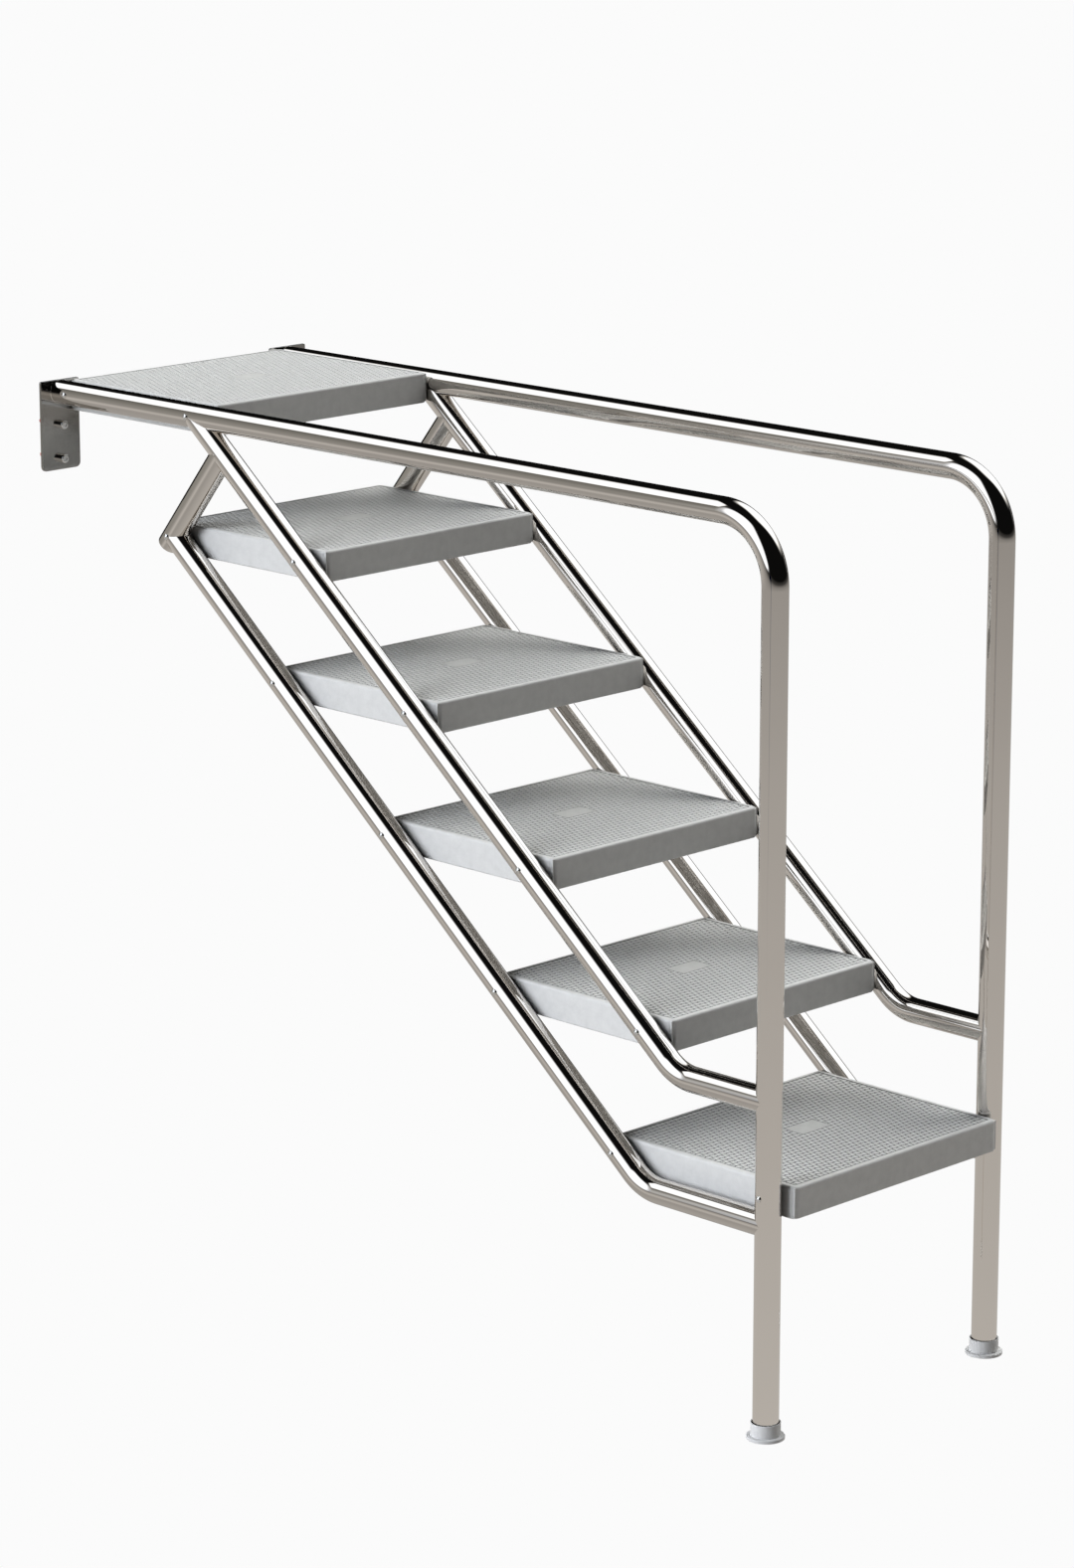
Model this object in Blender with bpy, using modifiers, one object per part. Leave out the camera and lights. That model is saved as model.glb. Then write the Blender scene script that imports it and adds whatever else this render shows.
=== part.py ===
"""Boarding ladder: two welded stainless side frames, a platform and five wide treads between them.

Metres, +Z up. +X points away from the wall, the way a person walks down, and +Y to the right-hand side frame.
The origin is on the floor, in the middle of the whole ladder's plan. Places along X are first worked out
from the axis of the two legs, and one empty then moves everything to the origin.
"""

from math import ceil, cos, pi, radians, sin, tan

import bmesh
import bpy
from mathutils import Matrix, Vector

# Tube and side frames
TUBE_OD = 0.0430
TUBE_WALL = 0.0020
TUBE_SIDES = 16
FRAME_SPACING = 0.5434
RAIL_HEIGHT = 1.4944
RAIL_LENGTH = 1.7040
RAIL_BEND_RADIUS = 0.108
STRINGER_BEND_RADIUS = 0.091
SLOPE = radians(39.1)
FRONT_STRINGER_TOP_X = -1.3412
FRONT_STRINGER_FOOT_Z = 0.5629
REAR_STRINGER_TOP_X = -1.4001
REAR_STRINGER_TOP_Z = 1.2786
REAR_STRINGER_FOOT_Z = 0.3583
BRACE_OVERHANG = 0.0255
BRACE_CAP_THICKNESS = 0.0030
BEND_STEP = radians(10)
GAP = 0.0003

# Wall plates, their bolts and the plugs that hold these in the wall
PLATE_WIDTH = 0.087
PLATE_BOTTOM_Z = 1.3555
PLATE_THICKNESS = 0.005
PLATE_LOWER_CORNER = 0.0095
PLATE_UPPER_CORNER = 0.003
BOLT_HEIGHTS = {"upper": 1.4364, "lower": 1.3759}
BOLT_HEAD_RADIUS = 0.008
BOLT_HEAD_LENGTH = 0.012
BOLT_SHANK_RADIUS = 0.004
BOLT_LENGTH = 0.046
BOLT_HOLE_RADIUS = 0.0045
SOCKET_ACROSS_FLATS = 0.006
SOCKET_DEPTH = 0.005
PLUG_RADIUS = 0.006
PLUG_TIP_RADIUS = 0.004
PLUG_TIP_REACH = 0.056
PLUG_RECESS = 0.003

# Platform and treads
TREADS = 5
TREAD_DEPTH = 0.3932
TREAD_WIDTH = 0.499
TREAD_THICKNESS = 0.054
TREAD_CORNER = 0.012
TREAD_EDGE = 0.005
TREAD_SKIN = 0.004
RISE = 0.21813
GOING = 0.26929
FIRST_TREAD_TOP_Z = 1.2957
FIRST_TREAD_FRONT_X = -1.0404
SCREW_DROP = 0.0175
PLATFORM_SCREW_X = {"rear": -1.668, "front": -1.345}
BOSS_DEPTH = 0.045
BOSS_LENGTH = 0.066

# Tread screws
SCREW_HEAD_RADIUS = 0.0055
SCREW_HEAD_HEIGHT = 0.003
SCREW_SHANK_RADIUS = 0.003
SCREW_LENGTH = 0.080
SCREW_HOLE_RADIUS = 0.0035
HOLE_SIDES = 8

# Feet
FOOT_FLANGE_RADIUS = 0.0315
FOOT_FLANGE_HEIGHT = 0.0055
FOOT_CUP_RADIUS = 0.0245
FOOT_HEIGHT = 0.0276
FOOT_FLOOR = 0.005

TUBE_RADIUS = TUBE_OD / 2
PLATE_TOP_Z = RAIL_HEIGHT + TUBE_RADIUS
BACK_X = -RAIL_LENGTH - PLUG_TIP_REACH
FRONT_X = FIRST_TREAD_FRONT_X + (TREADS - 1) * GOING
DOWN_SLOPE = Vector((cos(SLOPE), 0, -sin(SLOPE)))
UP_BRACE = Vector((sin(SLOPE), 0, cos(SLOPE)))
SIDES = {"left": -1, "right": 1}

parts = bpy.data.collections.new("boarding_ladder")
cutters = bpy.data.collections.new("cutters")


def clear_scene():
    for old in list(bpy.data.objects):
        bpy.data.objects.remove(old, do_unlink=True)
    bpy.context.scene.collection.children.link(parts)
    bpy.context.scene.collection.children.link(cutters)


def material(name, colour, roughness, metallic=0.0):
    """One Principled BSDF material, made once for each name."""
    if name in bpy.data.materials:
        return bpy.data.materials[name]
    made = bpy.data.materials.new(name)
    made.use_nodes = True
    shader = made.node_tree.nodes["Principled BSDF"]
    shader.inputs["Base Color"].default_value = (*colour, 1.0)
    shader.inputs["Roughness"].default_value = roughness
    shader.inputs["Metallic"].default_value = metallic
    return made


def tube_steel():
    return material("tube_steel", (0.74, 0.73, 0.71), 0.06, 1.0)


def plate_steel():
    return material("plate_steel", (0.78, 0.77, 0.75), 0.10, 1.0)


def fastener_steel():
    return material("fastener_steel", (0.80, 0.79, 0.77), 0.22, 1.0)


def tread_plastic():
    return material("tread_plastic", (0.62, 0.63, 0.64), 0.50)


def foot_plastic():
    return material("foot_plastic", (0.70, 0.71, 0.72), 0.40)


def plug_plastic():
    return material("plug_plastic", (0.55, 0.16, 0.12), 0.50)


def add_part(name, mesh, skin, location=(0, 0, 0), smooth=True):
    """Links a mesh as a part, under the empty that holds the whole ladder."""
    made = bpy.data.objects.new(name, mesh)
    made.location = location
    made.parent = bpy.data.objects["ladder_origin"]
    if not mesh.materials:
        mesh.materials.append(skin)
    if smooth:
        mesh.shade_smooth()
        mesh.set_sharp_from_angle(angle=radians(35))
    parts.objects.link(made)
    return made


def add_cutter(name, bodies):
    """Joins closed bmesh bodies into one hidden cutter, in the same frame as the parts."""
    mesh = bpy.data.meshes.new(name)
    bodies.to_mesh(mesh)
    bodies.free()
    made = bpy.data.objects.new(name, mesh)
    made.parent = bpy.data.objects["ladder_origin"]
    made.hide_render = True
    made.display_type = "WIRE"
    cutters.objects.link(made)
    return made


def cut(part, cutter):
    """Takes the cutter's shape away from the part."""
    boolean = part.modifiers.new(cutter.name, "BOOLEAN")
    boolean.operation = "DIFFERENCE"
    boolean.object = cutter
    boolean.solver = "EXACT"


def add_box(bodies, low, high):
    """A box between two corners, added to a bmesh."""
    low = Vector(low)
    size = Vector(high) - low
    place = Matrix.Translation(low + size / 2) @ Matrix.Diagonal((*size, 1))
    bmesh.ops.create_cube(bodies, size=1, matrix=place)


def add_rod(bodies, start, end, radius, sides):
    """A solid rod between two points, added to a bmesh."""
    axis = Vector(end) - Vector(start)
    turn = axis.to_track_quat("Z", "Y").to_matrix().to_4x4()
    place = Matrix.Translation(Vector(start) + axis / 2) @ turn
    bmesh.ops.create_cone(
        bodies,
        cap_ends=True,
        segments=sides,
        radius1=radius,
        radius2=radius,
        depth=axis.length,
        matrix=place,
    )


def rounded_path(corners, radius):
    """The centreline through the corners, its inner corners rounded to the bend radius."""
    corners = [Vector(corner) for corner in corners]
    path = [corners[0]]
    for before, corner, after in zip(corners, corners[1:], corners[2:]):
        ahead = (corner - before).normalized()
        away = (after - corner).normalized()
        angle = ahead.angle(away)
        inward = (away - ahead * cos(angle)) / sin(angle)
        start = corner - ahead * radius * tan(angle / 2)
        centre = start + inward * radius
        steps = ceil(angle / BEND_STEP)
        for step in range(steps + 1):
            turned = angle * step / steps
            path.append(centre + radius * (ahead * sin(turned) - inward * cos(turned)))
    path.append(corners[-1])
    return path


def tube(name, path):
    """A hollow tube of the frame's size along a path, open at both ends."""
    curve = bpy.data.curves.new(name + "_centreline", "CURVE")
    curve.dimensions = "3D"
    curve.bevel_depth = TUBE_RADIUS
    curve.bevel_resolution = TUBE_SIDES // 2 - 2
    spline = curve.splines.new("POLY")
    spline.points.add(len(path) - 1)
    for point, place in zip(spline.points, path):
        point.co = (*place, 1)
    centreline = bpy.data.objects.new(name + "_centreline", curve)
    parts.objects.link(centreline)
    graph = bpy.context.evaluated_depsgraph_get()
    mesh = bpy.data.meshes.new_from_object(centreline.evaluated_get(graph))
    bpy.data.objects.remove(centreline, do_unlink=True)
    mesh.name = name
    made = add_part(name, mesh, tube_steel())
    wall = made.modifiers.new("tube_wall", "SOLIDIFY")
    wall.thickness = TUBE_WALL
    wall.offset = -1
    return made


def cope(part, start, end):
    """Cuts a tube's end to the outside of the tube that it is welded to."""
    bodies = bmesh.new()
    clear_radius = (TUBE_RADIUS + GAP) / cos(pi / TUBE_SIDES)
    add_rod(bodies, start, end, clear_radius, TUBE_SIDES)
    cut(part, add_cutter(f"{part.name}_cope_{len(part.modifiers)}", bodies))


def drill(part, places, side):
    """Bores a screw hole through both walls of a side frame's tube at each (x, z) place."""
    bodies = bmesh.new()
    reach = Vector((0, TUBE_OD, 0))
    for x, z in places:
        centre = Vector((x, side * FRAME_SPACING / 2, z))
        add_rod(bodies, centre - reach, centre + reach, SCREW_HOLE_RADIUS, HOLE_SIDES)
    cut(part, add_cutter(part.name + "_holes", bodies))


def tread_top(number):
    return FIRST_TREAD_TOP_Z - (number - 1) * RISE


def tread_front(number):
    return FIRST_TREAD_FRONT_X + (number - 1) * GOING


def tread_screws(number):
    """The (x, z) places of a tread's rear and front screws, on the frame tubes' axes. Tread 0 is the platform."""
    if number == 0:
        return {end: (x, RAIL_HEIGHT) for end, x in PLATFORM_SCREW_X.items()}
    z = tread_top(number) - SCREW_DROP
    rear_x = REAR_STRINGER_TOP_X + (REAR_STRINGER_TOP_Z - z) / tan(SLOPE)
    front_x = FRONT_STRINGER_TOP_X + (RAIL_HEIGHT - z) / tan(SLOPE)
    return {"rear": (rear_x, z), "front": (min(front_x, 0), z)}


def stringer_path(top, foot_z, y):
    """A stringer's centreline: down the slope, then level into the leg."""
    knee_x = top[0] + (top[1] - foot_z) / tan(SLOPE)
    corners = [(top[0], y, top[1]), (knee_x, y, foot_z), (0, y, foot_z)]
    return rounded_path(corners, STRINGER_BEND_RADIUS)


def rail(name, y, side):
    """The handrail and front leg: one tube from the wall plate, over the top bend and down into the foot."""
    corners = [
        (-RAIL_LENGTH + GAP, y, RAIL_HEIGHT),
        (0, y, RAIL_HEIGHT),
        (0, y, FOOT_FLOOR + GAP),
    ]
    made = tube(name, rounded_path(corners, RAIL_BEND_RADIUS))
    leg_screw = tread_screws(TREADS)["front"]
    drill(made, [*tread_screws(0).values(), leg_screw], side)


def front_stringer(name, y, side):
    """The front sloping tube, from under the handrail down to the leg."""
    path = stringer_path((FRONT_STRINGER_TOP_X, RAIL_HEIGHT), FRONT_STRINGER_FOOT_Z, y)
    made = tube(name, path)
    along_rail = Vector((0.2, 0, 0))
    cope(made, path[0] - along_rail, path[0] + along_rail)
    cope_on_leg(made, y, FRONT_STRINGER_FOOT_Z)
    drill(made, [tread_screws(number)["front"] for number in range(1, TREADS)], side)


def rear_stringer(name, y, side):
    """The rear sloping tube, from the brace down to the leg."""
    path = stringer_path((REAR_STRINGER_TOP_X, REAR_STRINGER_TOP_Z), REAR_STRINGER_FOOT_Z, y)
    made = tube(name, path)
    along_brace = UP_BRACE * TUBE_OD * 2
    cope(made, path[0] - along_brace, path[0] + along_brace)
    cope_on_leg(made, y, REAR_STRINGER_FOOT_Z)
    drill(made, [tread_screws(number)["rear"] for number in range(2, TREADS + 1)], side)


def cope_on_leg(part, y, z):
    cope(part, (0, y, z - TUBE_OD * 2), (0, y, z + TUBE_OD * 2))


def brace(name, y, side):
    """The short tube across the tops of the two stringers, its lower end closed by a cap."""
    foot = Vector((REAR_STRINGER_TOP_X, y, REAR_STRINGER_TOP_Z))
    rail_point = Vector((FRONT_STRINGER_TOP_X, y, RAIL_HEIGHT))
    top = foot + UP_BRACE * (rail_point - foot).dot(UP_BRACE)
    open_end = foot - UP_BRACE * (BRACE_OVERHANG - BRACE_CAP_THICKNESS - GAP)
    made = tube(name, [open_end, top])
    cope(made, top - DOWN_SLOPE * TUBE_OD * 2, top + DOWN_SLOPE * TUBE_OD * 2)
    drill(made, [tread_screws(1)["rear"]], side)
    return foot


def turned(name, profile, axis, location, skin, steps):
    """A turned piece: a profile of (radius, height) points, top first, turned about its own Z axis."""
    mesh = bpy.data.meshes.new(name)
    points = [(radius, 0, height) for radius, height in profile]
    edges = [(index, index + 1) for index in range(len(points) - 1)]
    mesh.from_pydata(points, edges, [])
    made = add_part(name, mesh, skin, location, smooth=False)
    made.rotation_euler = Vector(axis).to_track_quat("Z", "Y").to_euler()
    spin = made.modifiers.new("turn", "SCREW")
    spin.steps = steps
    spin.render_steps = steps
    spin.use_merge_vertices = True
    spin.merge_threshold = 0.00001
    spin.use_smooth_shade = True
    return made


def brace_cap(name, foot):
    """The disc welded into the brace's lower end, its outer edge rounded."""
    edge = BRACE_CAP_THICKNESS / 2
    profile = [
        (0, BRACE_CAP_THICKNESS),
        (TUBE_RADIUS - edge, BRACE_CAP_THICKNESS),
        (TUBE_RADIUS - edge * (1 - sin(pi / 4)), BRACE_CAP_THICKNESS - edge * (1 - cos(pi / 4))),
        (TUBE_RADIUS, BRACE_CAP_THICKNESS - edge),
        (TUBE_RADIUS, 0),
        (0, 0),
    ]
    inner_face = foot - UP_BRACE * (BRACE_OVERHANG - BRACE_CAP_THICKNESS)
    turned(name, profile, -UP_BRACE, inner_face, tube_steel(), 24)


def wall_plate(name, y):
    """A flat plate welded to the rail's end, with rounded corners and two bolt holes."""
    front_x = -RAIL_LENGTH
    bodies = bmesh.new()
    half = PLATE_WIDTH / 2
    low = (front_x - PLATE_THICKNESS, y - half, PLATE_BOTTOM_Z)
    add_box(bodies, low, (front_x, y + half, PLATE_TOP_Z))
    middle_z = (PLATE_BOTTOM_Z + PLATE_TOP_Z) / 2
    for upper, radius in ((False, PLATE_LOWER_CORNER), (True, PLATE_UPPER_CORNER)):
        corners = [
            edge
            for edge in bodies.edges
            if abs(edge.verts[0].co.x - edge.verts[1].co.x) > PLATE_THICKNESS / 2
            and (edge.verts[0].co.z > middle_z) == upper
        ]
        bmesh.ops.bevel(bodies, geom=corners, offset=radius, segments=4, affect="EDGES", profile=0.5)
    mesh = bpy.data.meshes.new(name)
    bodies.to_mesh(mesh)
    bodies.free()
    made = add_part(name, mesh, plate_steel())
    holes = bmesh.new()
    for z in BOLT_HEIGHTS.values():
        start = (front_x - 2 * PLATE_THICKNESS, y, z)
        end = (front_x + PLATE_THICKNESS, y, z)
        add_rod(holes, start, end, BOLT_HOLE_RADIUS, 16)
    cut(made, add_cutter(name + "_holes", holes))


def wall_bolt(name, y, z):
    """A socket-head bolt through the wall plate: a domed cylindrical head on a plain shank."""
    dome = 0.0015
    profile = [
        (0, BOLT_HEAD_LENGTH),
        (BOLT_HEAD_RADIUS - 2 * dome, BOLT_HEAD_LENGTH),
        (BOLT_HEAD_RADIUS - dome / 2, BOLT_HEAD_LENGTH - dome / 2),
        (BOLT_HEAD_RADIUS, BOLT_HEAD_LENGTH - 2 * dome),
        (BOLT_HEAD_RADIUS, 0),
        (BOLT_SHANK_RADIUS, 0),
        (BOLT_SHANK_RADIUS, -BOLT_LENGTH),
        (0, -BOLT_LENGTH),
    ]
    seat = Vector((-RAIL_LENGTH + GAP, y, z))
    made = turned(name, profile, (1, 0, 0), seat, fastener_steel(), 16)
    socket = bmesh.new()
    bottom = seat + Vector((BOLT_HEAD_LENGTH - SOCKET_DEPTH, 0, 0))
    top = seat + Vector((BOLT_HEAD_LENGTH + SOCKET_DEPTH, 0, 0))
    add_rod(socket, bottom, top, SOCKET_ACROSS_FLATS / 2 / cos(pi / 6), 6)
    cut(made, add_cutter(name + "_socket", socket))


def wall_plug(name, y, z):
    """The plug that takes a bolt's end in the wall: a blind sleeve with a tapered tip."""
    length = PLUG_TIP_REACH - PLATE_THICKNESS - PLUG_RECESS
    bore = BOLT_SHANK_RADIUS + GAP
    bore_depth = BOLT_LENGTH - PLATE_THICKNESS - PLUG_RECESS + 2 * GAP
    taper = 0.012
    profile = [
        (bore, 0),
        (PLUG_RADIUS, 0),
        (PLUG_RADIUS, taper - length),
        (PLUG_TIP_RADIUS, -length),
        (0, -length),
    ]
    inside = [(0, -bore_depth), (bore, -bore_depth), (bore, 0)]
    mouth = (-RAIL_LENGTH - PLATE_THICKNESS - PLUG_RECESS, y, z)
    turned(name, profile + inside, (1, 0, 0), mouth, plug_plastic(), 12)


def foot(name, y):
    """A moulded foot: a flat flange and a cup that the leg stands in."""
    bore = TUBE_RADIUS + GAP
    rim_bore = FOOT_CUP_RADIUS - 0.0008
    edge = 0.0015
    profile = [
        (0, FOOT_FLOOR),
        (bore, FOOT_FLOOR),
        (bore, FOOT_HEIGHT - 0.006),
        (rim_bore, FOOT_HEIGHT),
        (FOOT_CUP_RADIUS, FOOT_HEIGHT - 0.0006),
        (FOOT_CUP_RADIUS, FOOT_FLANGE_HEIGHT + edge),
        (FOOT_CUP_RADIUS + edge, FOOT_FLANGE_HEIGHT),
        (FOOT_FLANGE_RADIUS - edge, FOOT_FLANGE_HEIGHT),
        (FOOT_FLANGE_RADIUS, FOOT_FLANGE_HEIGHT - edge),
        (FOOT_FLANGE_RADIUS, edge / 2),
        (FOOT_FLANGE_RADIUS - edge / 2, 0),
        (0, 0),
    ]
    turned(name, profile, (0, 0, 1), (0, y, 0), foot_plastic(), 24)


def tread_pockets(bodies, front_x, top_z):
    """The hollow underside: a front and a rear pocket between the screw bosses, and two wide ones between."""
    rear_x = front_x - TREAD_DEPTH
    wide = TREAD_WIDTH / 2 - TREAD_SKIN
    narrow = TREAD_WIDTH / 2 - BOSS_DEPTH
    middle = (rear_x + front_x) / 2
    rows = [
        (rear_x + TREAD_SKIN, rear_x + BOSS_LENGTH, narrow),
        (rear_x + BOSS_LENGTH + TREAD_SKIN, middle - TREAD_SKIN / 2, wide),
        (middle + TREAD_SKIN / 2, front_x - BOSS_LENGTH - TREAD_SKIN, wide),
        (front_x - BOSS_LENGTH, front_x - TREAD_SKIN, narrow),
    ]
    columns = 3
    for low_x, high_x, half in rows:
        width = (2 * half - (columns - 1) * TREAD_SKIN) / columns
        for column in range(columns):
            low_y = -half + column * (width + TREAD_SKIN)
            low = (low_x, low_y, top_z - 2 * TREAD_THICKNESS)
            add_box(bodies, low, (high_x, low_y + width, top_z - TREAD_SKIN))


def tread(name, front_x, top_z, screws):
    """A moulded tread: a rounded box, hollow and ribbed underneath, with bores for its four screws."""
    bodies = bmesh.new()
    low = (front_x - TREAD_DEPTH, -TREAD_WIDTH / 2, top_z - TREAD_THICKNESS)
    add_box(bodies, low, (front_x, TREAD_WIDTH / 2, top_z))
    upright = [
        edge
        for edge in bodies.edges
        if abs(edge.verts[0].co.z - edge.verts[1].co.z) > TREAD_THICKNESS / 2
    ]
    bmesh.ops.bevel(bodies, geom=upright, offset=TREAD_CORNER, segments=3, affect="EDGES", profile=0.5)
    mesh = bpy.data.meshes.new(name)
    bodies.to_mesh(mesh)
    bodies.free()
    made = add_part(name, mesh, tread_plastic())
    edges = made.modifiers.new("rounded_edges", "BEVEL")
    edges.width = TREAD_EDGE
    edges.segments = 2
    edges.limit_method = "ANGLE"
    edges.angle_limit = radians(60)
    hollows = bmesh.new()
    tread_pockets(hollows, front_x, top_z)
    cut(made, add_cutter(name + "_pockets", hollows))
    bores = bmesh.new()
    depth = screw_tip_depth() + GAP
    for x, z in screws.values():
        for side in SIDES.values():
            outer = side * TREAD_WIDTH / 2
            start = (x, outer + side * TREAD_SKIN, z)
            end = (x, outer - side * depth, z)
            add_rod(bores, start, end, SCREW_HOLE_RADIUS, HOLE_SIDES)
    cut(made, add_cutter(name + "_screw_bores", bores))


def screw_tip_depth():
    """How far a tread screw's tip reaches into a tread, from the tread's side."""
    head_y = FRAME_SPACING / 2 + TUBE_RADIUS + GAP
    return SCREW_LENGTH - (head_y - TREAD_WIDTH / 2)


def tread_screw(name, x, z, side):
    """A button-head screw from outside the frame tube into a tread's boss."""
    profile = [
        (0, SCREW_HEAD_HEIGHT),
        (SCREW_HEAD_RADIUS * 0.55, SCREW_HEAD_HEIGHT * 0.85),
        (SCREW_HEAD_RADIUS * 0.90, SCREW_HEAD_HEIGHT * 0.45),
        (SCREW_HEAD_RADIUS, 0),
        (SCREW_SHANK_RADIUS, 0),
        (SCREW_SHANK_RADIUS, -SCREW_LENGTH),
        (0, -SCREW_LENGTH),
    ]
    seat = (x, side * (FRAME_SPACING / 2 + TUBE_RADIUS + GAP), z)
    turned(name, profile, (0, side, 0), seat, fastener_steel(), 10)


def side_frame(label, side):
    """Everything that belongs to one side of the ladder."""
    y = side * FRAME_SPACING / 2
    rail(f"{label}_rail", y, side)
    front_stringer(f"{label}_front_stringer", y, side)
    rear_stringer(f"{label}_rear_stringer", y, side)
    brace_foot = brace(f"{label}_brace", y, side)
    brace_cap(f"{label}_brace_cap", brace_foot)
    wall_plate(f"{label}_wall_plate", y)
    for height, z in BOLT_HEIGHTS.items():
        wall_bolt(f"{label}_{height}_wall_bolt", y, z)
        wall_plug(f"{label}_{height}_wall_plug", y, z)
    foot(f"{label}_foot", y)


def treads():
    """The platform and the treads, each with two screws from either side."""
    for number in range(TREADS + 1):
        name = f"tread_{number}" if number else "platform"
        screws = tread_screws(number)
        tread(name, tread_front(number), tread_top(number), screws)
        for label, side in SIDES.items():
            for end, (x, z) in screws.items():
                tread_screw(f"{name}_{label}_{end}_screw", x, z, side)


clear_scene()
origin = bpy.data.objects.new("ladder_origin", None)
origin.location.x = -(BACK_X + FRONT_X) / 2
parts.objects.link(origin)
for side_label, side_sign in SIDES.items():
    side_frame(side_label, side_sign)
treads()
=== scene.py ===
"""Looks of the boarding ladder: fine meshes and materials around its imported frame.

Metres, in the frame's own axes: +X away from the wall, +Y to the right-hand side frame, +Z up.
Every place and size that the frame gives is read from its boxes, so that each fine piece
lies on its CAD node.
"""

from math import acos, copysign, cos, degrees, pi, radians, sin, sqrt, tan

import bmesh
import bpy
from mathutils import Matrix, Vector


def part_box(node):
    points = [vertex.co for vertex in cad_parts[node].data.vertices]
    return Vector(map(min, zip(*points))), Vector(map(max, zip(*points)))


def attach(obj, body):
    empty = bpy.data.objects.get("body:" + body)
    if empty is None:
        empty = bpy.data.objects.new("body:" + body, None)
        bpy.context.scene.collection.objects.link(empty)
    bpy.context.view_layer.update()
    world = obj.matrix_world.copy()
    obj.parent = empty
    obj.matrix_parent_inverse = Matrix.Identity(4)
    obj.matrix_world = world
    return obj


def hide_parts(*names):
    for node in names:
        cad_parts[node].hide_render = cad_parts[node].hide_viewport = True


SIDES = {"left": -1, "right": 1}
TREAD_NAMES = ["platform", "tread_1", "tread_2", "tread_3", "tread_4", "tread_5"]
SIDEWAYS = Vector((0, 1, 0))

# Tubes. SINK is how far a tube's end runs into its mate.
# BEND_SUPPORT is how far an extra ring stands from a bend's end.
ROUND_SIDES = 72
TUBE_WALL = 0.002
RAIL_BEND_RADIUS = 0.108
STRINGER_BEND_RADIUS = 0.091
BEND_STEP = radians(2)
BEND_SUPPORT = 0.001
WELD_RADIUS = 0.0006
WELD_SIDES = 8
PLATE_WELD_SIDES = 12
COPE_SHARP = radians(8)
SINK = 0.0002
CAP_HALF = 0.0015
CAP_ROUND = 0.0028
CAP_ROUND_STEPS = 10

# Treads, with the ribs and screw bosses of their hollow underside
TREAD_CORNER = 0.012
TREAD_TOP_EDGE = 0.005
TREAD_BOTTOM_EDGE = 0.003
TREAD_WALL = 0.004
TREAD_SHARP = radians(28)
CORNER_STEPS = 8
EDGE_STEPS = 6
HOLLOW_LIP = 0.0004
HOLLOW_DRAFT = 0.0005
RIB_SHORTFALL = 0.002
BOSS_SHORTFALL = 0.003
BOSS_LENGTH = 0.066
BOSS_DEPTH = 0.045

# Tiles on the treads. GROOVE_SECTION is (inset, depth) from a groove's middle up to the tile's flat top.
TILE_PITCH = 0.01089
TILE_ROWS = 34
TILE_COLUMNS = 43.5
GROOVE_SECTION = [(0, 0.0016), (0.0004, 0.0015), (0.0009, 0.0005), (0.0019, 0)]
PAD_ROWS = (15, 19)
PAD_HALF_COLUMNS = 3.25

# Places of the tread's materials in its mesh. The groove walls take a material painted far darker than the
# tiles: painted shade in the grooves.
TILE_TOP = 0
PAINTED_SHADE_GROOVE = 1
PAD_TOP = 2

# Wall plates
PLATE_EDGE = 0.0006
PLATE_LOWER_CORNER = 0.0095
PLATE_UPPER_CORNER = 0.003
PLATE_CORNER_STEPS = 10
PLATE_SHARP = radians(60)

# Fasteners and wall plugs
BOLT_SIDES = 48
BOLT_EDGE = 0.002
BOLT_EDGE_STEPS = 8
BOLT_FACE_BORDER = 0.002
SOCKET_FLATS = 0.006
SOCKET_DEPTH = 0.0008
SCREW_SIDES = 40
SCREW_DOME_SHARE = 0.6
SCREW_DOME_STEPS = 12
SCREW_SKIRT = 0.0009
SCREW_SHANK_RADIUS = 0.003
PLUG_SIDES = 32
PLUG_TAPER = 0.012
PLUG_RING_PITCH = 0.005
PLUG_RING_DEPTH = 0.0005
PLUG_MOUTH_DEPTH = 0.001
PLUG_MOUTH_SHARE = 0.7
PLUG_TIP_EDGE = 0.001

# Feet
FOOT_BORE_GAP = 0.0003
CUP_CHAMFER = 0.006
CUP_RADIUS = 0.0245
CUP_LIP = 0.0006
CUP_FILLET = 0.0012
FLANGE_HEIGHT = 0.0055
FLANGE_ROUND = 0.0018
FOOT_FLOOR = 0.005

# Camera: where it stands from the legs' axis, its aim and its lens
CAMERA_FROM_LEGS = Vector((4.9205, -5.7323, 2.8958))
CAMERA_HEADING = radians(44.868)
CAMERA_PITCH = radians(13.908)
CAMERA_ROLL = radians(0.013)
FOCAL_LENGTH_PER_HEIGHT = 3.1158529
SENSOR_LONG_SIDE = 36
CAMERA_REACH = 60

# Stage. GLARE_LIMIT is the most light that a reflection shows.
# GROUND_STEPS is (1 + the sine of the elevation, share of the ground's light).
BACKDROP = (0.965, 0.965, 0.965)
FLOOR_HALF = 30
DARK_ROOM = (0.0045, 0.0045, 0.0045)
GROUND_LIGHT = (0.575, 0.555, 0.53)
GLARE_LIMIT = (1.32, 1.4, 1.5)
GROUND_STEPS = [
    (0, 0.9),
    (0.15, 0.8),
    (0.4, 0.68),
    (0.5, 0.7),
    (0.63, 1),
    (0.76, 0.78),
    (0.86, 0.45),
    (0.92, 0.1),
    (1, 0),
]

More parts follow.
